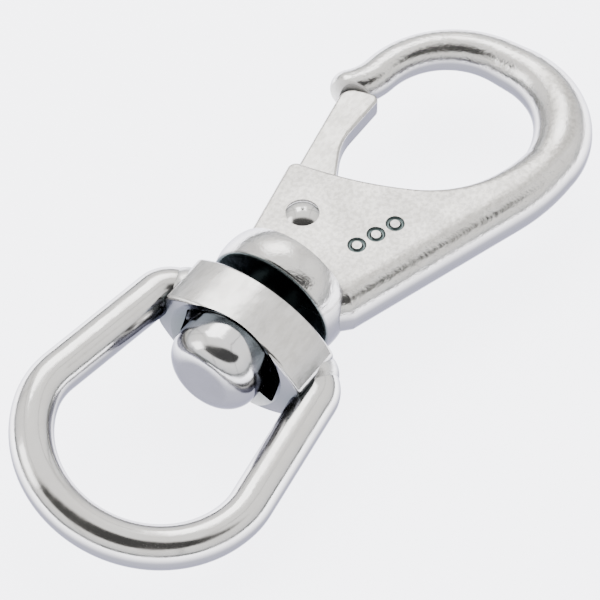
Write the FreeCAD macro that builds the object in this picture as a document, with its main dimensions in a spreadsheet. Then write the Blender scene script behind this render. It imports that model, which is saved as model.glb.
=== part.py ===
import FreeCAD, Part
import math
import os
import Sketcher

# Swivel-eye snap hook: a cast hook with a sprung lever gate, and a welded eye
# that turns on a headed stud.  Millimetres.  X runs along the swivel axis from
# the eye to the hook, Z is normal to the flat cheeks, and the gate is on the
# +Y side.  The origin is the centre of the eye's round end.

SIZES = {
    # eye: a bent rod with both ends welded to the hub
    "rod_diameter": 5.2,
    "eye_bow_radius": 13.6,        # centreline of the round end
    "eye_half_angle": 69.0,        # degrees of round end on the gate side
    "eye_far_half_angle": 84.0,    # and on the spine side
    "eye_knee_radius": 10.0,       # tighter bends beside the round end
    "eye_side_taper": 8.3,         # degrees that the gate side leans inwards
    "eye_far_taper": 7.5,          # and the spine side
    "eye_rest_angle": 12.9,        # degrees the eye is turned at rest
    "elbow_radius": 2.9,           # centreline, where the rod turns into the hub
    "elbow_sweep": 70.0,           # degrees
    "elbow_x": 15.7,               # where the bend starts on the gate side
    "far_elbow_x": 16.7,           # and on the spine side
    "weld_radius": 3.1,
    "weld_setback": 3.4,           # weld centre before the hub's back, gate side
    "far_weld_setback": 2.4,       # and on the spine side
    "weld_y": 8.2,
    "far_weld_y": 9.2,
    # hub: a lens-shaped bar bored for the stud
    "hub_front_x": 14.65,
    "hub_depth": 7.0,
    "hub_length": 19.4,
    "hub_offset": -0.4,            # towards the spine side
    "hub_height": 13.1,
    "hub_end_height": 5.4,
    "hub_edge_radius": 0.45,
    "hub_corner_radius": 1.2,
    "pocket_wall": 1.9,
    "pocket_end_wall": 2.9,
    "pocket_corner_radius": 0.8,
    "pocket_depth": 3.8,
    "dish_radius": 7.7,            # shallow dish that the head sits in
    "dish_floor_radius": 6.0,
    "dish_depth": 1.0,
    # stud: a headed pin fixed in the hook's neck
    "stud_head_radius": 5.7,
    "stud_head_length": 5.8,
    "stud_head_round": 3.1,
    "shank_radius": 3.2,
    "stem_radius": 2.4,
    "stem_length": 5.4,
    "shoulder_radius": 5.2,
    "swivel_clearance": 0.06,      # radial, shank in hub
    "end_clearance": 0.1,          # axial, each side of the hub
    # collar and neck of the hook
    "gap_behind_hub": 1.75,
    "collar_rim_radius": 7.95,
    "collar_bulge_radius": 8.35,
    "collar_bulge_offset": 2.2,
    "collar_shoulder_offset": 4.5,
    "collar_length": 6.7,
    "collar_rim_round": 0.5,
    "collar_back_bulge": 0.1,      # how far the back is from a plain cone
    # cheeks and spine
    "body_thickness": 6.6,
    "cheek_start": 1.4,            # behind the collar rim
    "cheek_edge_start_y": 5.8,
    "neck_offset": 3.6,            # where the spine leaves the collar
    "neck_y": 7.6,                 # how far down the cheek starts inside it
    "cheek_corner_offset": 17.3,   # corner behind the collar rim
    "cheek_corner_y": 8.8,
    "cheek_corner_radius": 1.1,
    "mouth_radius": 46.0,          # the cheek's front edge
    "throat_radius": 12.4,         # where the edge turns along the spine
    "bowl_radius": 21.8,           # where it runs into the bow
    "bowl_sweep": 16.0,            # degrees
    "spine_radius": 26.5,
    "spine_slope": 18.7,           # degrees
    "spine_round": 3.2,
    "edge_round": 0.45,
    # bow and beak: a tapering bar
    "bow_centre_offset": 35.4,     # behind the collar rim
    "bow_centre_y": -4.4,
    "bow_radius": 11.22,
    "bow_straight": 2.4,
    "bow_upper_sweep": 84.0,       # degrees
    "beak_radius": 6.9,
    "beak_sweep": 37.0,            # degrees
    "bow_side_section": 2.85,
    "bow_shoulder_section": 2.45,
    "bow_top_section": 2.35,
    "beak_section": 2.25,
    # gate
    "pivot_offset": 11.4,          # behind the collar rim
    "pivot_y": 3.15,
    "gate_thickness": 2.7,
    "gate_heel_radius": 3.6,
    "gate_heel_rise": 0.5,         # heel centre above the pivot
    "gate_slope_drop": 9.97,       # degrees below the line from the pivot to the beak
    "gate_tip_setback": 0.886,     # tip short of the beak's centre
    "gate_tip_round": 1.7,
    "gate_tip_inner_round": 0.9,
    "gate_inner_offset": 3.3,
    "gate_blend_radius": 8.0,
    "gate_under_slope": 28.0,      # degrees
    "gate_edge_round": 0.4,
    "gate_side_clearance": 0.15,
    "gate_tip_clearance": 0.15,
    "heel_clearance": 0.35,
    "slot_floor_y": -2.9,
    "slot_front_offset": 21.5,     # behind the collar rim
    # rivet
    "rivet_radius": 1.2,
    "rivet_clearance": 0.05,
    "rivet_head_radius": 2.0,
    "rivet_head_height": 0.75,
    "rivet_nib_radius": 0.22,
    # spring
    "spring_radius": 0.75,         # wire centre
    "wire_diameter": 0.35,
    "spring_turns": 6.0,
    "spring_along_gate": 2.5,      # from the heel's tangent point
    "spring_length": 4.6,
    "spring_seat_clearance": 0.12,
    # plain marks in place of lettering
    "mark_radius": 0.85,
    "mark_width": 0.28,
    "mark_pitch": 2.75,
    "mark_offset": 13.6,           # behind the collar rim
    "mark_y": -5.7,
    "mark_slope": 20.0,            # degrees
}

# Sizes that follow from the ones above: the gate always reaches to the beak.
DERIVED = {
    "beak_along": "=bow_centre_offset - pivot_offset + (bow_radius + beak_radius) * cos(bow_upper_sweep)"
                  " - beak_radius * cos(bow_upper_sweep - beak_sweep)",
    "beak_across": "=bow_centre_y + bow_straight - pivot_y + (bow_radius + beak_radius)"
                   " * sin(bow_upper_sweep) - beak_radius * sin(bow_upper_sweep - beak_sweep)",
    "gate_tip_radius": "=sqrt(beak_along ^ 2 + beak_across ^ 2) - gate_tip_setback",
    "gate_outer_slope": "=atan2(beak_across; beak_along) / 1 deg - gate_slope_drop",
}

V = FreeCAD.Vector
X_AXIS = V(1, 0, 0)
Y_AXIS = V(0, 1, 0)
Z_AXIS = V(0, 0, 1)
FULL_TURN = 360.0


def make_sheet(doc):
    """Put every driving size in a spreadsheet, one aliased cell each."""
    sheet = doc.addObject("Spreadsheet::Sheet", "Sizes")
    for row, (name, content) in enumerate((SIZES | DERIVED).items(), start=1):
        sheet.set(f"A{row}", name)
        sheet.setAlias(f"B{row}", name)
        sheet.set(f"B{row}", str(content))
    doc.recompute()
    return sheet


def polar(radius, degrees):
    """A point at this radius and angle in the XY plane."""
    angle = math.radians(degrees)
    return V(radius * math.cos(angle), radius * math.sin(angle), 0)


def new_body(doc, name):
    return doc.addObject("PartDesign::Body", name)


def sketch_on(body, role, name, offset=None):
    """A sketch on one of the body's own origin planes."""
    sketch = body.newObject("Sketcher::SketchObject", name)
    plane = next(f for f in body.Origin.OriginFeatures if f.Role == role)
    sketch.AttachmentSupport = [(plane, "")]
    sketch.MapMode = "FlatFace"
    if offset is not None:
        sketch.AttachmentOffset = offset
    return sketch


def drive(sketch, kind, args, number, expression, name):
    """Add a dimension and bind it to the sheet."""
    index = sketch.addConstraint(Sketcher.Constraint(kind, *args, number))
    sketch.renameConstraint(index, name)
    sketch.setExpression(f"Constraints.{name}", expression)


def arc(centre, radius, start, end):
    """A counter-clockwise arc between two angles in degrees."""
    circle = Part.Circle(centre, Z_AXIS, radius)
    return Part.ArcOfCircle(circle, math.radians(start), math.radians(end))


def heading(vector):
    return math.degrees(math.atan2(vector.y, vector.x))


def add_all(sketch, shapes):
    return [sketch.addGeometry(shape, False) for shape in shapes]


def join(sketch, pairs, kind="Coincident"):
    """Constrain pairs of (geometry, end), (geometry, end) to meet."""
    for (first, first_end), (second, second_end) in pairs:
        sketch.addConstraint(Sketcher.Constraint(kind, first, first_end, second, second_end))


def pad_both_ways(body, sketch, name, expression):
    pad = body.newObject("PartDesign::Pad", name)
    pad.Profile = sketch
    pad.Midplane = True
    pad.setExpression("Length", expression)
    return pad


def revolve(body, sketch, name, axis):
    turned = body.newObject("PartDesign::Revolution", name)
    turned.Profile = sketch
    turned.ReferenceAxis = (sketch, [axis])
    turned.Angle = FULL_TURN
    return turned


def section_at(body, name, point, direction, expression, sheet):
    """A round pipe section at a point, square to a direction in the XY plane."""
    side = direction.cross(Z_AXIS)
    turn = FreeCAD.Rotation(Z_AXIS, side, direction, "ZXY")
    sketch = sketch_on(body, "XY_Plane", name, FreeCAD.Placement(point, turn))
    add_all(sketch, [Part.Circle(V(), Z_AXIS, sheet.get("rod_diameter"))])
    join(sketch, [((0, 3), (-1, 1))])
    drive(sketch, "Radius", (0,), sheet.get("rod_diameter"), expression, "section_radius")
    return sketch


# --- the eye -----------------------------------------------------------------

def eye_side(get, half_angle, taper, elbow_x):
    """Knee, straight side and elbow of one side of the eye, on the +Y side."""
    bow = get("eye_bow_radius")
    knee = get("eye_knee_radius")
    elbow = get("elbow_radius")
    turn = FULL_TURN / 2 - half_angle
    knee_centre = polar(bow - knee, turn)
    side_start = knee_centre + polar(knee, FULL_TURN / 4 - taper)
    run = (elbow_x - side_start.x) / math.cos(math.radians(taper))
    side_end = side_start + polar(run, -taper)
    elbow_centre = side_end - polar(elbow, FULL_TURN / 4 - taper)
    last = FULL_TURN / 4 - taper - get("elbow_sweep")
    return turn, knee_centre, side_start, side_end, elbow_centre, last


def mirrored(point):
    return V(point.x, -point.y, 0)


def eye_path(body, sheet):
    """Elbow, side, knee, round end, knee, side and elbow, all tangent."""
    get = sheet.get
    near = eye_side(get, get("eye_half_angle"), get("eye_side_taper"), get("elbow_x"))
    far = eye_side(get, get("eye_far_half_angle"), get("eye_far_taper"), get("far_elbow_x"))
    quarter = FULL_TURN / 4
    square = quarter - get("eye_side_taper")
    far_square = quarter - get("eye_far_taper")
    bow = get("eye_bow_radius")
    knee = get("eye_knee_radius")
    elbow = get("elbow_radius")
    sketch = sketch_on(body, "XY_Plane", "eye_path")
    add_all(sketch, [
        arc(near[4], elbow, near[5], square),
        Part.LineSegment(near[3], near[2]),
        arc(near[1], knee, square, near[0]),
        arc(V(), bow, near[0], FULL_TURN - far[0]),
        arc(mirrored(far[1]), knee, -far[0], -far_square),
        Part.LineSegment(mirrored(far[2]), mirrored(far[3])),
        arc(mirrored(far[4]), elbow, -far_square, -far[5]),
    ])
    join(sketch, [((i, 2), (i + 1, 1)) for i in range(6)], "Tangent")
    join(sketch, [((3, 3), (-1, 1))])
    drive(sketch, "Radius", (3,), bow, "Sizes.eye_bow_radius", "bow")
    for side, arcs in (("near", (0, 2)), ("far", (6, 4))):
        drive(sketch, "Radius", (arcs[0],), elbow, "Sizes.elbow_radius", f"{side}_elbow")
        drive(sketch, "Radius", (arcs[1],), knee, "Sizes.eye_knee_radius", f"{side}_knee")
        drive(sketch, "Angle", (arcs[0],), math.radians(get("elbow_sweep")), "Sizes.elbow_sweep * 1 deg",
              f"{side}_elbow_sweep")
    drive(sketch, "Angle", (2,), math.radians(near[0] - square),
          "(90 - Sizes.eye_half_angle + Sizes.eye_side_taper) * 1 deg", "near_knee_sweep")
    drive(sketch, "Angle", (4,), math.radians(far[0] - far_square),
          "(90 - Sizes.eye_far_half_angle + Sizes.eye_far_taper) * 1 deg", "far_knee_sweep")
    drive(sketch, "Angle", (3,), math.radians(FULL_TURN - near[0] - far[0]),
          "(Sizes.eye_half_angle + Sizes.eye_far_half_angle) * 1 deg", "bow_sweep")
    drive(sketch, "DistanceY", (-1, 1, 3, 1), bow * math.sin(math.radians(near[0])),
          "Sizes.eye_bow_radius * sin(Sizes.eye_half_angle * 1 deg)", "bow_start")
    drive(sketch, "DistanceX", (-1, 1, 1, 1), near[3].x, "Sizes.elbow_x", "near_end")
    drive(sketch, "DistanceX", (-1, 1, 5, 2), far[3].x, "Sizes.far_elbow_x", "far_end")
    return sketch, near


def eye_turn(sheet):
    """The eye's placement at rest: turned about the swivel axis."""
    return FreeCAD.Placement(V(), FreeCAD.Rotation(X_AXIS, sheet.get("eye_rest_angle")))


def make_rod(doc, sheet):
    """The bent rod, before the welds are let into its ends."""
    body = new_body(doc, "eye_rod")
    path, near = eye_path(body, sheet)
    start = near[4] + polar(sheet.get("elbow_radius"), near[5])
    direction = polar(1, near[5] + FULL_TURN / 4)
    section = section_at(body, "rod_section", start, direction, "Sizes.rod_diameter / 2", sheet)
    pipe = body.newObject("PartDesign::AdditivePipe", "bent_rod")
    pipe.Profile = (section, [""])
    pipe.Spine = (path, [""])
    body.Placement = eye_turn(sheet)
    return body


def make_weld(doc, sheet, name, y, setback):
    """A weld bead at one end of the hub, behind the head's dish."""
    get = sheet.get
    radius = get("weld_radius")
    back = get("hub_front_x") + get("hub_depth")
    flat = get("hub_front_x") + get("dish_depth")
    centre = V(back - setback, y, 0)
    ball = cutter(doc, "Sphere", f"{name}_ball", FreeCAD.Placement(centre, FreeCAD.Rotation()),
                  Radius="Sizes.weld_radius")
    corner = V(flat, y - 2 * radius, -2 * radius)
    block = cutter(doc, "Box", f"{name}_block", FreeCAD.Placement(corner, FreeCAD.Rotation()),
                   Length="4 * Sizes.weld_radius", Width="4 * Sizes.weld_radius",
                   Height="4 * Sizes.weld_radius")
    weld = doc.addObject("Part::Common", name)
    weld.Base = ball
    weld.Tool = block
    weld.Placement = eye_turn(sheet)
    return weld


def less(doc, name, base, tools):
    """A base with other solids cut from it, one after another."""
    for number, tool in enumerate(tools, start=1):
        left = doc.addObject("Part::Cut", name if number == len(tools) else f"{name}_cut_{number}")
        left.Base = base
        left.Tool = tool
        base = left
    return base


def lens_outline(sketch, sheet, wall, end_wall):
    """The hub's outline: two crowned sides and two short flat ends, less the walls."""
    get = sheet.get
    half_length = get("hub_length") / 2
    drop = (get("hub_height") - get("hub_end_height")) / 2
    crown = (half_length ** 2 + drop ** 2) / (2 * drop) - wall
    centre = V(0, get("hub_height") / 2 - wall - crown, 0)
    shift = V(get("hub_offset"), 0, 0)
    reach = half_length - end_wall
    edge = math.degrees(math.asin(reach / crown))
    height = centre.y + math.sqrt(crown ** 2 - reach ** 2)
    quarter = FULL_TURN / 4
    corner = V(reach, height, 0)
    below = V(reach, -height, 0)
    shapes = [
        arc(shift + centre, crown, quarter - edge, quarter + edge),
        arc(shift - centre, crown, -quarter - edge, -quarter + edge),
    ]
    shapes.append(Part.LineSegment(shift + corner, shift + below))
    shapes.append(Part.LineSegment(shift - below, shift - corner))
    add_all(sketch, shapes)


def hub_plane_offset(sheet, depth):
    """Turns the YZ plane's sketch so that it lies at this depth behind the hub's front."""
    return FreeCAD.Placement(V(0, 0, sheet.get("hub_front_x") + depth), FreeCAD.Rotation())


def lengthwise_edges(shape, length):
    """Names of the straight edges of this length along X."""
    names = []
    for number, edge in enumerate(shape.Edges, start=1):
        box = edge.BoundBox
        if abs(box.XLength - length) < 1e-3 and box.YLength + box.ZLength < 1e-4:
            names.append(f"Edge{number}")
    return names


def make_hub(doc, sheet):
    """The hub with its pocket, dish and bore, before the rod is let in."""
    get = sheet.get
    body = new_body(doc, "hub_blank")
    outline = sketch_on(body, "YZ_Plane", "hub_outline", hub_plane_offset(sheet, 0))
    lens_outline(outline, sheet, 0, 0)
    pad = body.newObject("PartDesign::Pad", "hub_bar")
    pad.Profile = outline
    pad.setExpression("Length", "Sizes.hub_depth")
    doc.recompute()
    corners = body.newObject("PartDesign::Fillet", "hub_corners")
    corners.Base = (pad, lengthwise_edges(pad.Shape, get("hub_depth")))
    corners.setExpression("Radius", "Sizes.hub_corner_radius")
    doc.recompute()
    rims = [f"Edge{i}" for i, edge in enumerate(corners.Shape.Edges, start=1)
            if edge.BoundBox.XLength < get("end_clearance")]
    fillet = body.newObject("PartDesign::Fillet", "hub_edges")
    fillet.Base = (corners, rims)
    fillet.setExpression("Radius", "Sizes.hub_edge_radius")
    pocket_sketch = sketch_on(body, "YZ_Plane", "pocket_outline", hub_plane_offset(sheet, 0))
    lens_outline(pocket_sketch, sheet, get("pocket_wall"), get("pocket_end_wall"))
    pocket = body.newObject("PartDesign::Pocket", "head_pocket")
    pocket.Profile = pocket_sketch
    pocket.Reversed = True
    pocket.setExpression("Length", "Sizes.pocket_depth")
    doc.recompute()
    pocket_round = body.newObject("PartDesign::Fillet", "pocket_corners")
    pocket_round.Base = (pocket, lengthwise_edges(pocket.Shape, get("pocket_depth")))
    pocket_round.setExpression("Radius", "Sizes.pocket_corner_radius")
    dish_sketch = sketch_on(body, "XY_Plane", "dish_profile")
    front = get("hub_front_x")
    floor = front + get("dish_depth")
    closed_profile(dish_sketch, [V(front, 0, 0), V(front, get("dish_radius"), 0),
                                 V(floor, get("dish_floor_radius"), 0), V(floor, 0, 0)])
    drive(dish_sketch, "DistanceX", (-1, 1, 0, 1), front, "Sizes.hub_front_x", "front")
    drive(dish_sketch, "DistanceX", (0, 1, 2, 2), get("dish_depth"), "Sizes.dish_depth", "depth")
    drive(dish_sketch, "DistanceY", (-1, 1, 0, 2), get("dish_radius"), "Sizes.dish_radius", "radius")
    drive(dish_sketch, "DistanceY", (-1, 1, 1, 2), get("dish_floor_radius"), "Sizes.dish_floor_radius",
          "floor_radius")
    dish = body.newObject("PartDesign::Groove", "head_dish")
    dish.Profile = dish_sketch
    dish.ReferenceAxis = (dish_sketch, ["H_Axis"])
    dish.Angle = FULL_TURN
    bore_sketch = sketch_on(body, "YZ_Plane", "bore_circle", hub_plane_offset(sheet, 0))
    bore_radius = get("shank_radius") + get("swivel_clearance")
    add_all(bore_sketch, [Part.Circle(V(), Z_AXIS, bore_radius)])
    join(bore_sketch, [((0, 3), (-1, 1))])
    drive(bore_sketch, "Radius", (0,), bore_radius, "Sizes.shank_radius + Sizes.swivel_clearance", "bore")
    bore = body.newObject("PartDesign::Pocket", "shank_bore")
    bore.Profile = bore_sketch
    bore.Reversed = True
    bore.setExpression("Length", "Sizes.hub_depth")
    body.Placement = eye_turn(sheet)
    return body


def make_eye(doc, sheet):
    """The rod, hub and two welds, cut to meet face to face."""
    get = sheet.get
    welds = [make_weld(doc, sheet, "gate_side_weld", get("weld_y"), get("weld_setback")),
             make_weld(doc, sheet, "spine_side_weld", -get("far_weld_y"), get("far_weld_setback"))]
    ring = less(doc, "eye_ring", make_rod(doc, sheet), welds)
    hub = less(doc, "eye_hub", make_hub(doc, sheet), welds + [ring])
    return [ring, hub] + welds


# --- the stud ----------------------------------------------------------------

def closed_profile(sketch, points):
    """Straight sides between the points, closed."""
    ends = points[1:] + points[:1]
    count = len(points)
    add_all(sketch, [Part.LineSegment(a, b) for a, b in zip(points, ends)])
    join(sketch, [((i, 2), ((i + 1) % count, 1)) for i in range(count)])


def make_stud(doc, sheet):
    """Head, shank, shoulder and stem, turned about the swivel axis."""
    get = sheet.get
    seat = get("hub_front_x") + get("dish_depth") - get("end_clearance")
    shoulder = get("hub_front_x") + get("hub_depth") + get("end_clearance")
    rim = collar_rim_x(get)
    stations = [
        (seat - get("stud_head_length"), 0),
        (seat - get("stud_head_length"), get("stud_head_radius")),
        (seat, get("stud_head_radius")),
        (seat, get("shank_radius")),
        (shoulder, get("shank_radius")),
        (shoulder, get("shoulder_radius")),
        (rim, get("shoulder_radius")),
        (rim, get("stem_radius")),
        (rim + get("stem_length"), get("stem_radius")),
        (rim + get("stem_length"), 0),
    ]
    bearing = "Sizes.hub_front_x + Sizes.dish_depth - Sizes.end_clearance"
    body = new_body(doc, "swivel_stud")
    sketch = sketch_on(body, "XY_Plane", "stud_profile")
    closed_profile(sketch, [V(x, radius, 0) for x, radius in stations])
    bind_stations(sketch, stations, [
        (f"{bearing} - Sizes.stud_head_length", "Sizes.stud_head_radius"),
        (bearing, "Sizes.shank_radius"),
        ("Sizes.hub_front_x + Sizes.hub_depth + Sizes.end_clearance", "Sizes.shoulder_radius"),
        ("Sizes.hub_front_x + Sizes.hub_depth + Sizes.gap_behind_hub", "Sizes.stem_radius"),
        ("Sizes.hub_front_x + Sizes.hub_depth + Sizes.gap_behind_hub + Sizes.stem_length", None),
    ])
    turned = revolve(body, sketch, "stud_turned", "H_Axis")
    doc.recompute()
    face_edge = circle_edges(turned.Shape, seat - get("stud_head_length"), get("stud_head_radius"))
    fillet = body.newObject("PartDesign::Fillet", "head_round")
    fillet.Base = (turned, face_edge)
    fillet.setExpression("Radius", "Sizes.stud_head_round")
    return body


def bind_stations(sketch, stations, rows):
    """Square up a stepped profile and bind each step's place and radius."""
    for index in range(len(stations)):
        kind = "Vertical" if index % 2 == 0 else "Horizontal"
        sketch.addConstraint(Sketcher.Constraint(kind, index))
    join(sketch, [((0, 1), (-1, 1))], "Horizontal")
    for row, (place, radius) in enumerate(rows):
        line = 2 * row
        start = stations[line]
        drive(sketch, "DistanceX", (-1, 1, line, 1), start[0], place, f"step_{row}_x")
        if radius:
            drive(sketch, "DistanceY", (-1, 1, line, 2), stations[line + 1][1], radius, f"step_{row}_radius")


def circle_edges(shape, x, radius):
    """Names of the round edges about the swivel axis at this place and radius."""
    names = []
    for number, edge in enumerate(shape.Edges, start=1):
        box = edge.BoundBox
        if abs(box.Center.x - x) < 1e-4 and box.XLength < 1e-4 and abs(box.YLength - 2 * radius) < 1e-3:
            names.append(f"Edge{number}")
    return names


# --- the hook ----------------------------------------------------------------

def collar_rim_x(get):
    return get("hub_front_x") + get("hub_depth") + get("gap_behind_hub")


def make_collar(doc, sheet):
    """The round neck flange, barrel-shaped with a nearly conical back."""
    get = sheet.get
    rim = collar_rim_x(get)
    rim_edge = V(rim, get("collar_rim_radius"), 0)
    crest = V(rim + get("collar_bulge_offset"), get("collar_bulge_radius"), 0)
    shoulder = V(rim + get("collar_shoulder_offset"), get("collar_rim_radius"), 0)
    mid = (shoulder + V(rim + get("collar_length"), get("stem_radius"), 0)) / 2
    bulge = get("collar_back_bulge")
    back_mid = mid + V(bulge, bulge, 0)
    back = V(rim + get("collar_length"), get("stem_radius"), 0)
    body = new_body(doc, "collar")
    sketch = sketch_on(body, "XY_Plane", "collar_profile")
    add_all(sketch, [
        Part.LineSegment(V(rim, 0, 0), rim_edge),
        Part.Arc(rim_edge, crest, shoulder),
        Part.Arc(shoulder, back_mid, back),
        Part.LineSegment(back, V(back.x, 0, 0)),
        Part.LineSegment(V(back.x, 0, 0), V(rim, 0, 0)),
    ])
    rim_place = "Sizes.hub_front_x + Sizes.hub_depth + Sizes.gap_behind_hub"
    drive(sketch, "DistanceX", (-1, 1, 0, 1), rim, rim_place, "rim")
    drive(sketch, "DistanceY", (-1, 1, 0, 2), rim_edge.y, "Sizes.collar_rim_radius", "rim_radius")
    turned = revolve(body, sketch, "collar_turned", "H_Axis")
    doc.recompute()
    fillet = body.newObject("PartDesign::Fillet", "rim_round")
    fillet.Base = (turned, circle_edges(turned.Shape, rim, get("collar_rim_radius")))
    fillet.setExpression("Radius", "Sizes.collar_rim_round")
    return body


def cheek_points(get):
    """Points of the cheek and spine outline, with the arc centres between them."""
    rim = collar_rim_x(get)
    left = rim + get("cheek_start")
    gate_side = V(left, get("cheek_edge_start_y"), 0)
    corner = V(rim + get("cheek_corner_offset"), get("cheek_corner_y"), 0)
    end_x = rim + get("bow_centre_offset")
    half = get("body_thickness") / 2
    middle = V(end_x, get("bow_centre_y") - get("bow_radius"), 0)
    inner = middle + V(0, half, 0)
    outer = middle - V(0, half, 0)
    bowl_centre = inner + V(0, get("bowl_radius"), 0)
    bowl_end = bowl_centre + polar(get("bowl_radius"), -FULL_TURN / 4 - get("bowl_sweep"))
    throat_centre = bowl_end + (bowl_centre - bowl_end) * (get("throat_radius") / get("bowl_radius"))
    mouth_centre = meet(throat_centre, get("mouth_radius") - get("throat_radius"), corner, get("mouth_radius"))
    pull = (throat_centre - mouth_centre).normalize()
    throat_end = throat_centre + pull * get("throat_radius")
    spine_centre = outer + V(0, get("spine_radius"), 0)
    spine_end = spine_centre + polar(get("spine_radius"), -FULL_TURN / 4 - get("spine_slope"))
    neck_x = rim + get("neck_offset")
    drop = math.tan(math.radians(get("spine_slope"))) * (spine_end.x - neck_x)
    spine_start = V(neck_x, spine_end.y + drop, 0)
    return {
        "gate_side": gate_side, "corner": corner, "mouth_centre": mouth_centre, "throat_end": throat_end,
        "throat_centre": throat_centre, "bowl_end": bowl_end, "bowl_centre": bowl_centre, "inner": inner,
        "outer": outer, "spine_centre": spine_centre, "spine_end": spine_end, "spine_start": spine_start,
        "middle": middle, "neck": V(left, -get("neck_y"), 0),
    }


def meet(first, first_radius, second, second_radius):
    """Where two circles cross, on the +X side."""
    line = second - first
    span = line.Length
    along = (first_radius ** 2 - second_radius ** 2 + span ** 2) / (2 * span)
    aside = math.sqrt(first_radius ** 2 - along ** 2)
    direction = V(line).normalize()
    normal = V(direction.y, -direction.x, 0)
    options = [first + direction * along + normal * side for side in (aside, -aside)]
    return max(options, key=lambda point: point.x)


def arc_through(centre, start, end):
    """The counter-clockwise arc about a centre from one point to another."""
    radius = (start - centre).Length
    first = heading(start - centre)
    last = heading(end - centre)
    if last < first:
        last += FULL_TURN
    return arc(centre, radius, first, last)


def make_cheeks(doc, sheet):
    """The flat cheeks and spine: a pad of the side outline."""
    get = sheet.get
    p = cheek_points(get)
    body = new_body(doc, "cheek_plate")
    sketch = sketch_on(body, "XY_Plane", "cheek_outline")
    add_all(sketch, [
        Part.LineSegment(p["gate_side"], p["corner"]),
        arc_through(p["mouth_centre"], p["corner"], p["throat_end"]),
        arc_through(p["throat_centre"], p["throat_end"], p["bowl_end"]),
        arc_through(p["bowl_centre"], p["bowl_end"], p["inner"]),
        Part.LineSegment(p["inner"], p["outer"]),
        arc_through(p["spine_centre"], p["spine_end"], p["outer"]),
        Part.LineSegment(p["spine_end"], p["spine_start"]),
        Part.LineSegment(p["spine_start"], p["neck"]),
        Part.LineSegment(p["neck"], p["gate_side"]),
    ])
    join(sketch, [((0, 2), (1, 1)), ((3, 2), (4, 1)), ((4, 2), (5, 2)), ((6, 2), (7, 1)), ((7, 2), (8, 1)),
                  ((8, 2), (0, 1))])
    join(sketch, [((1, 2), (2, 1)), ((2, 2), (3, 1)), ((5, 1), (6, 1))], "Tangent")
    join(sketch, [((3, 3), (3, 2)), ((5, 3), (5, 2))], "Vertical")
    for line in (4, 8):
        sketch.addConstraint(Sketcher.Constraint("Vertical", line))
    rim = "Sizes.hub_front_x + Sizes.hub_depth + Sizes.gap_behind_hub"
    half = "Sizes.body_thickness / 2"
    drive(sketch, "DistanceX", (-1, 1, 0, 1), p["gate_side"].x, f"{rim} + Sizes.cheek_start", "left")
    drive(sketch, "DistanceY", (-1, 1, 0, 1), p["gate_side"].y, "Sizes.cheek_edge_start_y", "edge_start")
    drive(sketch, "DistanceX", (-1, 1, 7, 1), p["spine_start"].x, f"{rim} + Sizes.neck_offset", "neck_x")
    drive(sketch, "DistanceY", (7, 2, -1, 1), get("neck_y"), "Sizes.neck_y", "neck_y")
    drive(sketch, "DistanceX", (-1, 1, 0, 2), p["corner"].x, f"{rim} + Sizes.cheek_corner_offset", "corner_x")
    drive(sketch, "DistanceY", (-1, 1, 0, 2), p["corner"].y, "Sizes.cheek_corner_y", "corner_y")
    drive(sketch, "DistanceX", (-1, 1, 3, 2), p["inner"].x, f"{rim} + Sizes.bow_centre_offset", "bow_x")
    drive(sketch, "DistanceY", (3, 2, -1, 1), -p["inner"].y,
          f"Sizes.bow_radius - Sizes.bow_centre_y - {half}", "inner_y")
    drive(sketch, "DistanceY", (4, 2, 4, 1), 2 * (p["inner"] - p["middle"]).Length, "Sizes.body_thickness",
          "root_width")
    for geometry, name in ((1, "mouth_radius"), (2, "throat_radius"), (3, "bowl_radius"), (5, "spine_radius")):
        drive(sketch, "Radius", (geometry,), get(name), f"Sizes.{name}", name)
    drive(sketch, "Angle", (3,), math.radians(get("bowl_sweep")), "Sizes.bowl_sweep * 1 deg", "bowl_sweep")
    drive(sketch, "Angle", (5,), math.radians(get("spine_slope")), "Sizes.spine_slope * 1 deg", "spine_slope")
    pad = pad_both_ways(body, sketch, "cheek_pad", "Sizes.body_thickness")
    doc.recompute()
    corner_edge = vertical_edges(pad.Shape, [p["corner"]])
    fillet = body.newObject("PartDesign::Fillet", "corner_round")
    fillet.Base = (pad, corner_edge)
    fillet.setExpression("Radius", "Sizes.cheek_corner_radius")
    return body, p


def vertical_edges(shape, points):
    """Names of the edges along Z through these points of the XY plane."""
    names = []
    for number, edge in enumerate(shape.Edges, start=1):
        box = edge.BoundBox
        flat = V(box.Center.x, box.Center.y, 0)
        if box.XLength + box.YLength < 1e-4 and min(flat.distanceToPoint(q) for q in points) < 1e-3:
            names.append(f"Edge{number}")
    return names


def rim_edge_numbers(shape, centre, radius, half_thickness):
    """Numbers of the edges on both flat faces that lie on an arc of the outline."""
    numbers = []
    for number, edge in enumerate(shape.Edges, start=1):
        box = edge.BoundBox
        on_face = box.ZLength < 1e-4 and abs(abs(box.Center.z) - half_thickness) < 1e-3
        if not on_face or not isinstance(edge.Curve, Part.Circle):
            continue
        hub = edge.Curve.Center
        if V(hub.x, hub.y, 0).distanceToPoint(centre) < 1e-3 and abs(edge.Curve.Radius - radius) < 1e-3:
            numbers.append(number)
    return numbers


def line_edge_numbers(shape, start, end, half_thickness):
    """Numbers of the straight edges on both flat faces between two outline points."""
    middle = (start + end) / 2
    numbers = []
    for number, edge in enumerate(shape.Edges, start=1):
        box = edge.BoundBox
        on_face = box.ZLength < 1e-4 and abs(abs(box.Center.z) - half_thickness) < 1e-3
        if on_face and isinstance(edge.Curve, Part.Line) and V(box.Center.x, box.Center.y, 0).distanceToPoint(
                middle) < 1e-3:
            numbers.append(number)
    return numbers


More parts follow.
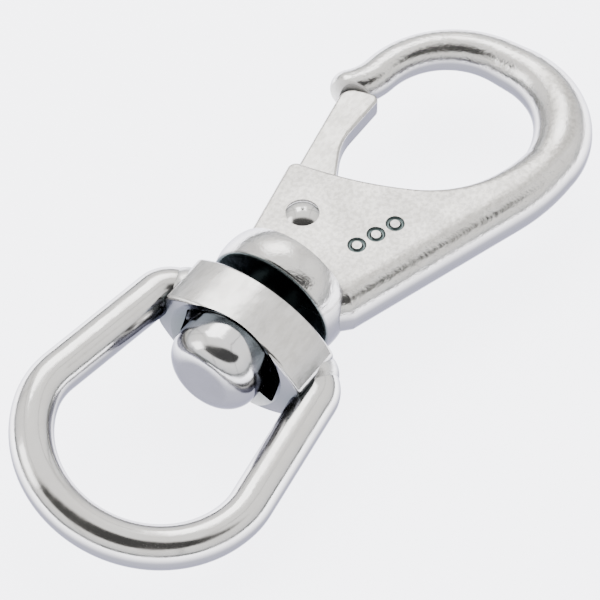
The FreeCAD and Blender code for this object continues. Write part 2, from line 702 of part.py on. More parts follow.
def round_cheeks(doc, sheet, plate, p):
    """Full round along the spine; the inner edge opens from sharp to full round."""
    get = sheet.get
    half = get("body_thickness") / 2
    full = min(get("spine_round"), half - get("end_clearance"))
    small = get("edge_round")
    shape = plate.Shape
    rounded = doc.addObject("Part::Fillet", "cheeks_rounded")
    rounded.Base = plate
    edges = []
    for number in rim_edge_numbers(shape, p["spine_centre"], get("spine_radius"), half):
        edges.append((number, full, full))
    for start, end in ((p["spine_start"], p["spine_end"]), (p["neck"], p["spine_start"])):
        for number in line_edge_numbers(shape, start, end, half):
            edges.append((number, full, full))
    throat_round = (small + full) / 2
    for number in rim_edge_numbers(shape, p["mouth_centre"], get("mouth_radius"), half):
        edges.append((number, small, small))
    for number in rim_edge_numbers(shape, p["throat_centre"], get("throat_radius"), half):
        edges.append(graded(shape, number, p["throat_end"], small, throat_round))
    for number in rim_edge_numbers(shape, p["bowl_centre"], get("bowl_radius"), half):
        edges.append(graded(shape, number, p["bowl_end"], throat_round, full))
    rounded.Edges = edges
    return rounded


def graded(shape, number, start, first, last):
    """An edge's fillet entry, with its two radii in the order of its ends."""
    vertex = shape.Edges[number - 1].Vertexes[0].Point
    if V(vertex.x, vertex.y, 0).distanceToPoint(start) < 1e-3:
        return (number, first, last)
    return (number, last, first)


def bow_frames(get):
    """Where the bow's centreline starts, turns and ends, with its directions."""
    quarter = FULL_TURN / 4
    radius = get("bow_radius")
    lower = V(collar_rim_x(get) + get("bow_centre_offset"), get("bow_centre_y"), 0)
    upper = lower + V(0, get("bow_straight"), 0)
    start = lower + polar(radius, -quarter)
    side = (lower + upper) / 2 + V(radius, 0, 0)
    shoulder = upper + polar(radius, get("bow_upper_sweep") / 2)
    top = upper + polar(radius, get("bow_upper_sweep"))
    top_heading = get("bow_upper_sweep") + quarter
    beak_centre = top + polar(get("beak_radius"), top_heading - quarter)
    nose = beak_centre + polar(get("beak_radius"), top_heading + quarter - get("beak_sweep"))
    nose_heading = top_heading - get("beak_sweep")
    return lower, upper, start, side, shoulder, top, top_heading, beak_centre, nose, nose_heading


def make_bow(doc, sheet):
    """The tapering round bow, with a beak that bends outwards."""
    get = sheet.get
    quarter = FULL_TURN / 4
    lower, upper, start, side, shoulder, top, top_heading, beak_centre, nose, nose_heading = bow_frames(get)
    radius = get("bow_radius")
    body = new_body(doc, "bow")
    path = sketch_on(body, "XY_Plane", "bow_path")
    last = top_heading + quarter
    add_all(path, [
        arc(lower, radius, -quarter, 0),
        Part.LineSegment(lower + V(radius, 0, 0), upper + V(radius, 0, 0)),
        arc(upper, radius, 0, get("bow_upper_sweep")),
        arc(beak_centre, get("beak_radius"), last - get("beak_sweep"), last),
    ])
    join(path, [((0, 2), (1, 1)), ((1, 2), (2, 1)), ((2, 2), (3, 2))], "Tangent")
    path.addConstraint(Sketcher.Constraint("Equal", 0, 2))
    join(path, [((0, 3), (0, 1))], "Vertical")
    rim = "Sizes.hub_front_x + Sizes.hub_depth + Sizes.gap_behind_hub"
    drive(path, "DistanceX", (-1, 1, 0, 3), lower.x, f"{rim} + Sizes.bow_centre_offset", "centre_x")
    drive(path, "DistanceY", (0, 3, -1, 1), -lower.y, "-Sizes.bow_centre_y", "centre_y")
    drive(path, "Radius", (0,), radius, "Sizes.bow_radius", "bow_radius")
    drive(path, "DistanceY", (1, 1, 1, 2), get("bow_straight"), "Sizes.bow_straight", "straight")
    drive(path, "Radius", (3,), get("beak_radius"), "Sizes.beak_radius", "beak_radius")
    drive(path, "Angle", (2,), math.radians(get("bow_upper_sweep")), "Sizes.bow_upper_sweep * 1 deg",
          "upper_sweep")
    drive(path, "Angle", (3,), math.radians(get("beak_sweep")), "Sizes.beak_sweep * 1 deg", "beak_sweep")
    sections = [
        section_at(body, "root_section", start, X_AXIS, "Sizes.body_thickness / 2", sheet),
        section_at(body, "side_section", side, Y_AXIS, "Sizes.bow_side_section", sheet),
        section_at(body, "shoulder_section", shoulder, polar(1, get("bow_upper_sweep") / 2 + quarter),
                   "Sizes.bow_shoulder_section", sheet),
        section_at(body, "top_section", top, polar(1, top_heading), "Sizes.bow_top_section", sheet),
        section_at(body, "beak_section_end", nose, polar(1, nose_heading), "Sizes.beak_section", sheet),
    ]
    pipe = body.newObject("PartDesign::AdditivePipe", "bow_bar")
    pipe.Profile = (sections[0], [""])
    pipe.Spine = (path, [""])
    pipe.Transformation = "Multisection"
    pipe.Sections = [(section, [""]) for section in sections[1:]]
    ball = doc.addObject("Part::Sphere", "beak_end")
    ball.setExpression("Radius", "Sizes.beak_section")
    ball.Placement.Base = nose
    return body, ball


def pivot_point(get):
    return V(collar_rim_x(get) + get("pivot_offset"), get("pivot_y"), 0)


def cutter(doc, kind, name, placement, **sizes):
    """A Part primitive whose sizes are bound to the sheet."""
    tool = doc.addObject(f"Part::{kind}", name)
    for size, expression in sizes.items():
        tool.setExpression(size, expression)
    tool.Placement = placement
    return tool


def slot_cutter(doc, sheet):
    """The slot for the gate, open towards the gate side and the mouth."""
    get = sheet.get
    back_x = pivot_point(get).x - get("gate_heel_radius") - get("heel_clearance")
    width = get("gate_thickness") + 2 * get("gate_side_clearance")
    place = FreeCAD.Placement(V(back_x, get("slot_floor_y"), -width / 2), FreeCAD.Rotation())
    return cutter(doc, "Box", "gate_slot", place,
                  Length="Sizes.slot_front_offset - Sizes.pivot_offset + Sizes.gate_heel_radius"
                         " + Sizes.heel_clearance",
                  Width="Sizes.cheek_corner_y - Sizes.slot_floor_y + Sizes.gate_thickness",
                  Height="Sizes.gate_thickness + 2 * Sizes.gate_side_clearance")


def tip_cutter(doc, sheet):
    """The notch in the beak: the gate tip's sweep about the pivot, with clearance."""
    get = sheet.get
    pivot = pivot_point(get)
    clearance = get("gate_tip_clearance")
    reach = get("gate_tip_radius") + clearance
    tall = get("body_thickness")
    slope = get("gate_outer_slope")
    disc = Part.makeCylinder(reach, tall, pivot - V(0, 0, tall / 2))
    top_line = pivot + V(0, get("gate_heel_rise"), 0)
    top_line += polar(get("gate_heel_radius") + clearance, slope + FULL_TURN / 4)
    block = Part.makeBox(2 * reach, 2 * reach, tall, V(0, -2 * reach, -tall / 2))
    block.Placement = FreeCAD.Placement(top_line, FreeCAD.Rotation(Z_AXIS, slope)).multiply(block.Placement)
    sweep = round_tip_corner(disc.common(block), get("gate_tip_round") + clearance, pivot, reach)
    low = pivot + V(reach / 2, get("gate_inner_offset") / 2, -tall / 2)
    notch = doc.addObject("Part::Feature", "tip_notch")
    notch.Shape = sweep.common(Part.makeBox(reach, reach, tall, low))
    return notch


def round_tip_corner(shape, radius, pivot, reach):
    """Round the upright edge where the outer line meets the tip's arc."""
    upright = [edge for edge in shape.Edges if edge.BoundBox.XLength + edge.BoundBox.YLength < 1e-4]
    far = [edge for edge in upright if abs(flat_distance(edge, pivot) - reach) < 1e-3
           and edge.BoundBox.Center.y > pivot.y]
    front = [edge for edge in far if edge.BoundBox.Center.x > pivot.x]
    return shape.makeFillet(radius, front)


def flat_distance(edge, point):
    centre = edge.BoundBox.Center
    return math.hypot(centre.x - point.x, centre.y - point.y)


def spring_frame(get):
    """The spring's top on the gate's underside, and its axis into the body."""
    slope = get("gate_under_slope")
    heel = pivot_point(get) + V(0, get("gate_heel_rise"), 0)
    tangent = heel + polar(get("gate_heel_radius"), slope - FULL_TURN / 4)
    top = tangent + polar(get("spring_along_gate"), slope)
    return top, polar(1, slope - FULL_TURN / 4)


def spring_bore(doc, sheet):
    """The blind seat bored for the spring in the slot's floor."""
    get = sheet.get
    top, axis = spring_frame(get)
    turn = FreeCAD.Rotation(Z_AXIS, axis)
    start = top + axis * (get("spring_length") / 2)
    return cutter(doc, "Cylinder", "spring_seat", FreeCAD.Placement(start, turn),
                  Radius="Sizes.spring_radius + Sizes.wire_diameter / 2 + Sizes.spring_seat_clearance",
                  Height="Sizes.spring_length / 2")


def mark_cutters(doc, sheet):
    """Three plain round grooves in the upper cheek."""
    get = sheet.get
    middle = V(collar_rim_x(get) + get("mark_offset"), get("mark_y"), get("body_thickness") / 2)
    tools = []
    for index in (-1, 0, 1):
        centre = middle + polar(index * get("mark_pitch"), -get("mark_slope"))
        place = FreeCAD.Placement(centre, FreeCAD.Rotation())
        tools.append(cutter(doc, "Torus", "mark", place,
                            Radius1="Sizes.mark_radius", Radius2="Sizes.mark_width"))
    return tools


def make_hook(doc, sheet):
    """Fuse the collar, cheeks and bow, then cut the slot, bores, notch and marks."""
    get = sheet.get
    collar = make_collar(doc, sheet)
    plate, points = make_cheeks(doc, sheet)
    doc.recompute()
    cheeks = round_cheeks(doc, sheet, plate, points)
    bow, beak_end = make_bow(doc, sheet)
    blank = doc.addObject("Part::MultiFuse", "hook_blank")
    blank.Shapes = [collar, cheeks, bow, beak_end]
    pivot = pivot_point(get)
    thickness = get("body_thickness")
    along_x = FreeCAD.Rotation(Z_AXIS, X_AXIS)
    rivet_hole = cutter(doc, "Cylinder", "rivet_hole",
                        FreeCAD.Placement(pivot - V(0, 0, thickness), FreeCAD.Rotation()),
                        Radius="Sizes.rivet_radius", Height="2 * Sizes.body_thickness")
    stem_hole = cutter(doc, "Cylinder", "stem_hole",
                       FreeCAD.Placement(V(collar_rim_x(get), 0, 0), along_x),
                       Radius="Sizes.stem_radius", Height="Sizes.stem_length")
    tools = doc.addObject("Part::MultiFuse", "hook_cuts")
    tools.Shapes = [slot_cutter(doc, sheet), rivet_hole, stem_hole, tip_cutter(doc, sheet),
                    spring_bore(doc, sheet)] + mark_cutters(doc, sheet)
    hook = doc.addObject("Part::Cut", "hook_body")
    hook.Base = blank
    hook.Tool = tools
    return hook


# --- the gate ----------------------------------------------------------------

def gate_points(get):
    """Outline points of the gate, measured from its pivot."""
    quarter = FULL_TURN / 4
    heel = get("gate_heel_radius")
    outer_slope = get("gate_outer_slope")
    under_slope = get("gate_under_slope")
    tip = get("gate_tip_radius")
    rise = V(0, get("gate_heel_rise"), 0)
    outer_start = rise + polar(heel, outer_slope + quarter)
    outer_gap = heel + rise.y * math.cos(math.radians(outer_slope))
    along = math.sqrt(tip ** 2 - outer_gap ** 2) - rise.y * math.sin(math.radians(outer_slope))
    outer_end = outer_start + polar(along, outer_slope)
    inner_y = get("gate_inner_offset")
    tip_inner = V(math.sqrt(tip ** 2 - inner_y ** 2), inner_y, 0)
    under_start = rise + polar(heel, under_slope - quarter)
    run = (inner_y - under_start.y) / math.sin(math.radians(under_slope))
    knee = under_start + polar(run, under_slope)
    return rise, outer_start, outer_end, tip_inner, knee, under_start


def make_gate(doc, sheet):
    """A flat lever with a round heel and a tip that is round about the pivot."""
    get = sheet.get
    rise, outer_start, outer_end, tip_inner, knee, under_start = gate_points(get)
    body = new_body(doc, "gate_lever")
    sketch = sketch_on(body, "XY_Plane", "gate_outline")
    add_all(sketch, [
        arc_through(rise, outer_start, under_start),
        Part.LineSegment(under_start, knee),
        Part.LineSegment(knee, tip_inner),
        arc_through(V(), tip_inner, outer_end),
        Part.LineSegment(outer_end, outer_start),
    ])
    join(sketch, [((3, 3), (-1, 1)), ((1, 2), (2, 1)), ((2, 2), (3, 1)), ((3, 2), (4, 1))])
    join(sketch, [((-1, 1), (0, 3))], "Vertical")
    drive(sketch, "DistanceY", (-1, 1, 0, 3), rise.y, "Sizes.gate_heel_rise", "rise")
    join(sketch, [((0, 2), (1, 1)), ((4, 2), (0, 1))], "Tangent")
    sketch.addConstraint(Sketcher.Constraint("Horizontal", 2))
    drive(sketch, "Radius", (0,), get("gate_heel_radius"), "Sizes.gate_heel_radius", "heel")
    drive(sketch, "Radius", (3,), get("gate_tip_radius"), "Sizes.gate_tip_radius", "tip")
    drive(sketch, "DistanceY", (-1, 1, 2, 1), get("gate_inner_offset"), "Sizes.gate_inner_offset", "inner")
    pad = pad_both_ways(body, sketch, "gate_pad", "Sizes.gate_thickness")
    doc.recompute()
    knee_fillet = body.newObject("PartDesign::Fillet", "gate_blend")
    knee_fillet.Base = (pad, vertical_edges(pad.Shape, [knee]))
    knee_fillet.setExpression("Radius", "Sizes.gate_blend_radius")
    doc.recompute()
    tip_fillet = body.newObject("PartDesign::Fillet", "tip_round")
    tip_fillet.Base = (knee_fillet, vertical_edges(knee_fillet.Shape, [outer_end]))
    tip_fillet.setExpression("Radius", "Sizes.gate_tip_round")
    doc.recompute()
    inner_fillet = body.newObject("PartDesign::Fillet", "tip_inner_round")
    inner_fillet.Base = (tip_fillet, vertical_edges(tip_fillet.Shape, [tip_inner]))
    inner_fillet.setExpression("Radius", "Sizes.gate_tip_inner_round")
    doc.recompute()
    half = get("gate_thickness") / 2
    rims = [f"Edge{i}" for i, edge in enumerate(inner_fillet.Shape.Edges, start=1)
            if edge.BoundBox.ZLength < 1e-4 and abs(abs(edge.BoundBox.Center.z) - half) < 1e-3]
    edge_fillet = body.newObject("PartDesign::Fillet", "gate_edges")
    edge_fillet.Base = (inner_fillet, rims)
    edge_fillet.setExpression("Radius", "Sizes.gate_edge_round")
    hole_sketch = sketch_on(body, "XY_Plane", "gate_hole")
    hole_radius = get("rivet_radius") + get("rivet_clearance")
    add_all(hole_sketch, [Part.Circle(V(), Z_AXIS, hole_radius)])
    join(hole_sketch, [((0, 3), (-1, 1))])
    drive(hole_sketch, "Radius", (0,), hole_radius, "Sizes.rivet_radius + Sizes.rivet_clearance", "hole")
    hole = body.newObject("PartDesign::Pocket", "rivet_bore")
    hole.Profile = hole_sketch
    hole.Midplane = True
    hole.setExpression("Length", "2 * Sizes.gate_thickness")
    body.Placement.Base = pivot_point(get)
    return body


def make_rivet(doc, sheet):
    """A pin with a low domed head and a small nib on each cheek."""
    get = sheet.get
    half = get("body_thickness") / 2
    height = get("rivet_head_height")
    head = get("rivet_head_radius")
    nib = get("rivet_nib_radius")
    shank = get("rivet_radius")
    body = new_body(doc, "gate_rivet")
    sketch = sketch_on(body, "XZ_Plane", "rivet_profile")
    crown = half + height
    nib_top = crown + nib / 2
    dome_radius = (head ** 2 + height ** 2) / (2 * height)
    nib_foot = crown - dome_radius + math.sqrt(dome_radius ** 2 - nib ** 2)
    mid_x = head / 2
    mid_z = crown - dome_radius + math.sqrt(dome_radius ** 2 - mid_x ** 2)
    shapes = []
    for side in (1, -1):
        points = [V(0, nib_top * side, 0), V(nib, nib_foot * side, 0), V(mid_x, mid_z * side, 0),
                  V(head, half * side, 0), V(shank, half * side, 0)]
        shapes.append(Part.LineSegment(points[0], points[1]))
        shapes.append(Part.Arc(points[1], points[2], points[3]))
        shapes.append(Part.LineSegment(points[3], points[4]))
    shapes.append(Part.LineSegment(V(shank, half, 0), V(shank, -half, 0)))
    shapes.append(Part.LineSegment(V(0, nib_top, 0), V(0, -nib_top, 0)))
    add_all(sketch, shapes)
    revolve(body, sketch, "rivet_turned", "V_Axis")
    body.Placement.Base = pivot_point(get)
    return body


def make_spring(doc, sheet):
    """A closed-up compression coil between the gate's underside and its seat."""
    get = sheet.get
    top, axis = spring_frame(get)
    wire = get("wire_diameter")
    room = get("spring_length") - wire - 2 * get("rivet_clearance")
    helix = Part.makeHelix(room / get("spring_turns"), room, get("spring_radius"))
    start = V(get("spring_radius"), 0, 0)
    section = Part.Wire(Part.makeCircle(wire / 2, start, Y_AXIS))
    coil = Part.Wire(helix).makePipeShell([section], True, True)
    spring = doc.addObject("Part::Feature", "gate_spring")
    spring.Shape = coil
    seat = top + axis * (wire / 2 + get("rivet_clearance"))
    spring.Placement = FreeCAD.Placement(seat, FreeCAD.Rotation(Z_AXIS, axis))
    return spring


def check_document(doc, nodes):
    """Stop on any failed object or bad shape."""
    for thing in doc.Objects:
        if {"Invalid", "Error"} & set(thing.State):
            raise RuntimeError(f"{thing.Label} failed: {thing.getStatusString()}")
    for node in nodes:
        if node.Shape.isNull() or not node.Shape.isValid():
            raise RuntimeError(f"{node.Label} has a bad shape")
        print(node.Label, "solids", len(node.Shape.Solids), "volume", round(node.Shape.Volume, 2))


def main():
    doc = FreeCAD.newDocument("snap_hook")
    sheet = make_sheet(doc)
    nodes = make_eye(doc, sheet) + [
        make_stud(doc, sheet),
        make_hook(doc, sheet),
        make_gate(doc, sheet),
        make_rivet(doc, sheet),
        make_spring(doc, sheet),
    ]
    doc.recompute()
    check_document(doc, nodes)
    os.makedirs("parts", exist_ok=True)
    for node in nodes:
        node.Shape.exportStep(f"parts/{node.Label}.step")


main()
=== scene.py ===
import math

import bpy
from mathutils import Matrix, Vector


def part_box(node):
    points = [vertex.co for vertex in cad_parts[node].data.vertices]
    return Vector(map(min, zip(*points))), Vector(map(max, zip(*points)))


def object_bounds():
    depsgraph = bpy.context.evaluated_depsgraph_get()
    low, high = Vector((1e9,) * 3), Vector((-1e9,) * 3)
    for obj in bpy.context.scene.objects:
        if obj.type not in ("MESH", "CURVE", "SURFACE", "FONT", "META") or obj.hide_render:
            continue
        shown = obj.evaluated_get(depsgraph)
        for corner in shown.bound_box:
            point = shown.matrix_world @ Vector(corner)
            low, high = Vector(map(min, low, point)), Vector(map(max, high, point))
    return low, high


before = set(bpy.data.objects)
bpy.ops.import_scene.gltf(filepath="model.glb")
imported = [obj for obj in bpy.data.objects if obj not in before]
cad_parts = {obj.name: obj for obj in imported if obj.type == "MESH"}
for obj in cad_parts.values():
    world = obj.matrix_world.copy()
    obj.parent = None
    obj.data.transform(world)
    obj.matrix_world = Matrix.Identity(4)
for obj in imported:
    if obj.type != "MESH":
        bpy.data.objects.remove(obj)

# Looks for the swivel-eye snap hook.  Every piece is a CAD node, and keeps its
# shape.  Metres, in the model's own frame.

MM = 0.001
cad_low, cad_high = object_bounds()

# Boxes of the nodes whose materials change along the swivel axis.
hub_low, hub_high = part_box("eye_hub")
stud_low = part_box("swivel_stud")[0]
body_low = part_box("hook_body")[0]


# Colours of the steel: plain, warm and cool; painted shade for its sideways and downward faces; and
# near-black painted shade for gaps and hollows.
CLEAN = (0.80, 0.79, 0.775)
WARM = (0.76, 0.74, 0.715)
COOL = (0.79, 0.79, 0.81)
# painted shade: the colour put on faces that look sideways or down
SIDE_SHADE = (0.135, 0.135, 0.152)
# painted shade: near-black colour put in gaps, hollows and where other metal is close
GAP_SHADE = (0.06, 0.072, 0.072)
EDGES = (0.55, 0.55, 0.60, 1)     # tint at a glancing angle


# --- node helpers --------------------------------------------------------------

class Shader:
    """A material's or world's node tree, built by short calls."""

    def __init__(self, holder, kind, place):
        holder.use_nodes = True
        self.holder = holder
        self.nodes = holder.node_tree.nodes
        self.links = holder.node_tree.links
        self.nodes.clear()
        self.output = self.nodes.new(kind)
        self.place = self.nodes.new("ShaderNodeTexCoord").outputs[place]

    def finish(self, shader):
        self.links.new(shader.outputs[0], self.output.inputs["Surface"])
        return self.holder

    def node(self, kind, inputs=None, **settings):
        made = self.nodes.new(kind)
        for key, value in settings.items():
            setattr(made, key, value)
        for key, value in (inputs or {}).items():
            if isinstance(value, bpy.types.NodeSocket):
                self.links.new(value, made.inputs[key])
            else:
                made.inputs[key].default_value = value
        return made

    def noise(self, size, detail=3.0, roughness=0.55, stretch=None):
        """Noise whose features are about this long, in metres."""
        place = self.place
        if stretch:
            place = self.node("ShaderNodeMapping", {"Vector": place, "Scale": stretch}).outputs[0]
        inputs = {"Vector": place, "Scale": 1 / size, "Detail": detail, "Roughness": roughness}
        return self.node("ShaderNodeTexNoise", inputs).outputs["Fac"]

    def ramp(self, value, stops):
        """Map a value through (place, grey or colour) stops."""
        made = self.node("ShaderNodeValToRGB", {"Fac": value})
        elements = made.color_ramp.elements
        while len(elements) < len(stops):
            elements.new(0.5)
        for element, (place, colour) in zip(elements, stops):
            element.position = place
            grey = not isinstance(colour, tuple)
            element.color = (colour, colour, colour, 1) if grey else (*colour, 1)
        return made.outputs["Color"]

    def between(self, value, low, high, to_low=0.0, to_high=1.0):
        """A smooth step from one value to another as the input rises."""
        inputs = {"Value": value, "From Min": low, "From Max": high, "To Min": to_low, "To Max": to_high}
        return self.node("ShaderNodeMapRange", inputs, interpolation_type="SMOOTHSTEP").outputs["Result"]

    def maths(self, operation, a, b=0.0):
        return self.node("ShaderNodeMath", {0: a, 1: b}, operation=operation).outputs[0]

    def mix(self, factor, a, b):
        made = self.node("ShaderNodeMix", data_type="RGBA")
        for key, value in ((0, factor), (6, a), (7, b)):
            if isinstance(value, bpy.types.NodeSocket):
                self.links.new(value, made.inputs[key])
            elif key:
                made.inputs[key].default_value = (*value, 1)
            else:
                made.inputs[key].default_value = value
        return made.outputs[2]

    def axes(self):
        parts = self.node("ShaderNodeSeparateXYZ", {"Vector": self.place})
        return parts.outputs["X"], parts.outputs["Y"], parts.outputs["Z"]

    def within(self, value, low, high, soft):
        """One between two values, falling to zero outside them."""
        rise = self.between(value, low - soft, low)
        return self.maths("MULTIPLY", rise, self.between(value, high + soft, high))

    def facing(self, direction):
        """How far the lookup direction points along another one."""
        made = self.node("ShaderNodeVectorMath", {0: self.place, 1: direction}, operation="DOT_PRODUCT")
        return made.outputs["Value"]

    def bump(self, height, depth, normal=None):
        inputs = {"Height": height, "Distance": depth, "Strength": 1.0}
        if normal:
            inputs["Normal"] = normal
        return self.node("ShaderNodeBump", inputs).outputs["Normal"]

    def side_shade_mask(self):
        """Mask for painted shade: one on faces that look sideways or down, zero on faces that look up.
        """
        normal = self.node("ShaderNodeTexCoord").outputs["Normal"]
        height = self.node("ShaderNodeSeparateXYZ", {"Vector": normal}).outputs["Z"]
        return self.between(height, 0.64, 0.08)

    def metal(self, colour, roughness, normal, unshaded, bright=None):
        """Steel with painted shade: a darker, cooler colour on faces that look sideways or down, less
        where the bright mask is given, and near-black painted shade where the gap mask is low.
        """
        side = self.side_shade_mask()
        if bright:
            side = self.maths("SUBTRACT", side, bright)
        # painted shade on faces that look sideways or down
        colour = self.mix(side, colour, SIDE_SHADE)
        # near-black painted shade in gaps, hollows and behind parts
        colour = self.mix(unshaded, GAP_SHADE, colour)
        inputs = {"Metallic": 1.0, "Base Color": colour, "Roughness": roughness, "Normal": normal,
                  "Specular Tint": EDGES}
        return self.finish(self.node("ShaderNodeBsdfPrincipled", inputs))


def surface(name):
    return Shader(bpy.data.materials.new(name), "ShaderNodeOutputMaterial", "Object")


def occlusion(shader, reach, power):
    """Painted shade: darkening where other metal is close, in gaps and hollows where shade falls."""
    close = shader.node("ShaderNodeAmbientOcclusion", {"Distance": reach}, samples=12)
    return shader.maths("POWER", close.outputs["AO"], power)


# --- materials -------------------------------------------------------------------

# Places on the hook, in its own frame.
CHEEK_TOP = 3.3 * MM
MARKS_X = 37.0 * MM
MARKS_Y = -5.7 * MM
MARKS_REACH = 4.4 * MM
PIVOT = (34.8 * MM, 3.15 * MM)
NOTCH_RADIUS = 22.0 * MM          # of the beak's notch, about the pivot
NOTCH_START = 50.0 * MM


def polished(name, tint, rough_low, rough_high):
    """Tumbled and polished stainless: soft waves, hairlines and dull patches."""
    s = surface(name)
    patches = s.noise(5 * MM, 4)
    hairlines = s.noise(0.9 * MM, 5, 0.7, stretch=(0.35, 1.6, 1.6))
    specks = s.noise(0.22 * MM, 2)
    dull = s.between(patches, 0.35, 0.7, rough_low, rough_high)
    dull = s.maths("ADD", dull, s.between(hairlines, 0.45, 0.8, 0.0, 0.06))
    colour = s.mix(s.between(patches, 0.3, 0.75), tint, WARM)
    colour = s.mix(s.between(specks, 0.68, 0.8, 0.0, 0.35), colour, (0.45, 0.44, 0.43))
    normal = s.bump(s.noise(2.6 * MM, 2), 0.030 * MM)
    normal = s.bump(hairlines, 0.004 * MM, normal)
    # painted shade where other metal is close
    return s.metal(colour, dull, normal, occlusion(s, 3.0 * MM, 1.4))


def marks_mask(s, x, y, z):
    """The grooves in the upper cheek: anything just below its face, near the marks."""
    along = s.within(x, MARKS_X - MARKS_REACH, MARKS_X + MARKS_REACH, 0.1 * MM)
    across = s.within(y, MARKS_Y - MARKS_REACH / 2, MARKS_Y + MARKS_REACH / 2, 0.1 * MM)
    below = s.within(z, CHEEK_TOP - 0.5 * MM, CHEEK_TOP - 0.05 * MM, 0.03 * MM)
    return s.maths("MULTIPLY", s.maths("MULTIPLY", along, across), below)


def notch_mask(s, x, y):
    """The wall of the notch in the beak that the gate's tip closes into."""
    off_x = s.maths("SUBTRACT", x, PIVOT[0])
    off_y = s.maths("SUBTRACT", y, PIVOT[1])
    squares = s.maths("ADD", s.maths("MULTIPLY", off_x, off_x), s.maths("MULTIPLY", off_y, off_y))
    inside = s.between(squares, (NOTCH_RADIUS + 0.1 * MM) ** 2, NOTCH_RADIUS ** 2)
    high = s.between(y, PIVOT[1], PIVOT[1] + 1 * MM)
    beyond = s.between(x, NOTCH_START, NOTCH_START + 1 * MM)
    return s.maths("MULTIPLY", s.maths("MULTIPLY", inside, high), beyond)


def cast_satin():
    """The cast hook: orange-peel cheeks, a smoother spine and painted black shade in the neck gap."""
    s = surface("cast_satin_steel")
    x, y, z = s.axes()
    peel = s.noise(0.55 * MM, 3, 0.6)
    pits = s.noise(0.3 * MM, 2)
    waves = s.noise(4.5 * MM, 3)
    flat = s.between(s.maths("ABSOLUTE", z), CHEEK_TOP - 0.30 * MM, CHEEK_TOP - 0.02 * MM)
    beyond = s.between(s.maths("ABSOLUTE", z), CHEEK_TOP + 0.30 * MM, CHEEK_TOP + 0.05 * MM)
    cheek = s.maths("MULTIPLY", flat, beyond)
    dull = s.between(waves, 0.35, 0.7, 0.15, 0.25)
    dull = s.maths("ADD", dull, s.maths("MULTIPLY", cheek, 0.14))
    notch = notch_mask(s, x, y)
    dull = s.maths("ADD", dull, s.maths("MULTIPLY", notch, 0.6))
    plain = s.mix(s.between(waves, 0.3, 0.7), CLEAN, WARM)
    grained = s.mix(s.between(peel, 0.38, 0.62), (0.74, 0.715, 0.68), (0.55, 0.53, 0.50))
    colour = s.mix(cheek, plain, grained)
    colour = s.mix(s.between(pits, 0.62, 0.74, 0.0, 0.5), colour, (0.42, 0.41, 0.39))
    # painted black shade on the collar's end face, in the gap behind the hub
    neck = s.between(x, body_low.x + 0.05 * MM, body_low.x + 0.45 * MM)
    colour = s.mix(marks_mask(s, x, y, z), colour, (0.10, 0.13, 0.13))
    # painted shade near other metal, kept off the notch wall
    unshaded = s.maths("MAXIMUM", occlusion(s, 1.0 * MM, 0.9), notch)
    unshaded = s.maths("MULTIPLY", unshaded, neck)
    normal = s.bump(peel, 0.045 * MM)
    normal = s.bump(s.noise(3.5 * MM, 2), 0.05 * MM, normal)
    return s.metal(colour, dull, normal, unshaded, notch)


def gate_satin():
    """The stamped gate: fine even grain along its length."""
    s = surface("gate_satin_steel")
    grain = s.noise(0.5 * MM, 4, 0.6, stretch=(0.6, 1.3, 1))
    waves = s.noise(3.5 * MM, 2)
    dull = s.between(waves, 0.3, 0.7, 0.24, 0.34)
    colour = s.mix(s.between(grain, 0.36, 0.64), (0.73, 0.71, 0.675), (0.57, 0.55, 0.52))
    colour = s.mix(s.between(waves, 0.62, 0.8, 0.0, 0.5), colour, CLEAN)
    normal = s.bump(grain, 0.035 * MM)
    # painted shade where other metal is close
    return s.metal(colour, dull, normal, occlusion(s, 0.8 * MM, 1.0))


def weld_grain():
    """Dressed weld beads: coarser ripples and heat tint."""
    s = surface("dressed_weld")
    ripples = s.noise(0.9 * MM, 4, 0.65)
    tint = s.noise(1.6 * MM, 2)
    colour = s.mix(s.between(tint, 0.45, 0.75), CLEAN, (0.50, 0.52, 0.50))
    dull = s.between(ripples, 0.3, 0.7, 0.22, 0.40)
    # painted shade where other metal is close
    return s.metal(colour, dull, s.bump(ripples, 0.05 * MM), occlusion(s, 1.5 * MM, 1.3))


def spring_wire():
    """Drawn wire with fine lengthwise lines."""
    s = surface("drawn_wire")
    lines = s.noise(0.12 * MM, 3)
    colour = s.mix(s.between(lines, 0.4, 0.7), (0.55, 0.55, 0.55), (0.36, 0.35, 0.34))
    dull = s.between(lines, 0.3, 0.7, 0.25, 0.4)
    # painted shade where other metal is close
    return s.metal(colour, dull, s.bump(lines, 0.006 * MM), occlusion(s, 0.5 * MM, 1.0))


def hub_polish():
    """The hub: polished outside, with near-black painted shade in the pocket and behind."""
    s = surface("hub_polished_steel")
    x = s.axes()[0]
    patches = s.noise(4 * MM, 4)
    swirls = s.noise(1.6 * MM, 4, 0.6, stretch=(0.5, 1.4, 1))
    specks = s.noise(0.25 * MM, 2)
    dull = s.between(patches, 0.35, 0.7, 0.17, 0.27)
    colour = s.mix(s.between(patches, 0.3, 0.75), CLEAN, WARM)
    colour = s.mix(s.between(swirls, 0.42, 0.66, 0.0, 0.7), colour, (0.63, 0.615, 0.59))
    colour = s.mix(s.between(specks, 0.68, 0.8, 0.0, 0.3), colour, (0.45, 0.44, 0.43))
    # painted black shade on the face towards the hook's collar
    front = s.between(x, hub_high.x - 0.02 * MM, hub_high.x - 0.3 * MM)
    unshaded = s.maths("MULTIPLY", occlusion(s, 3.0 * MM, 2.2), front)
    normal = s.bump(s.noise(3 * MM, 2), 0.05 * MM)
    normal = s.bump(swirls, 0.02 * MM, normal)
    return s.metal(colour, dull, normal, unshaded)


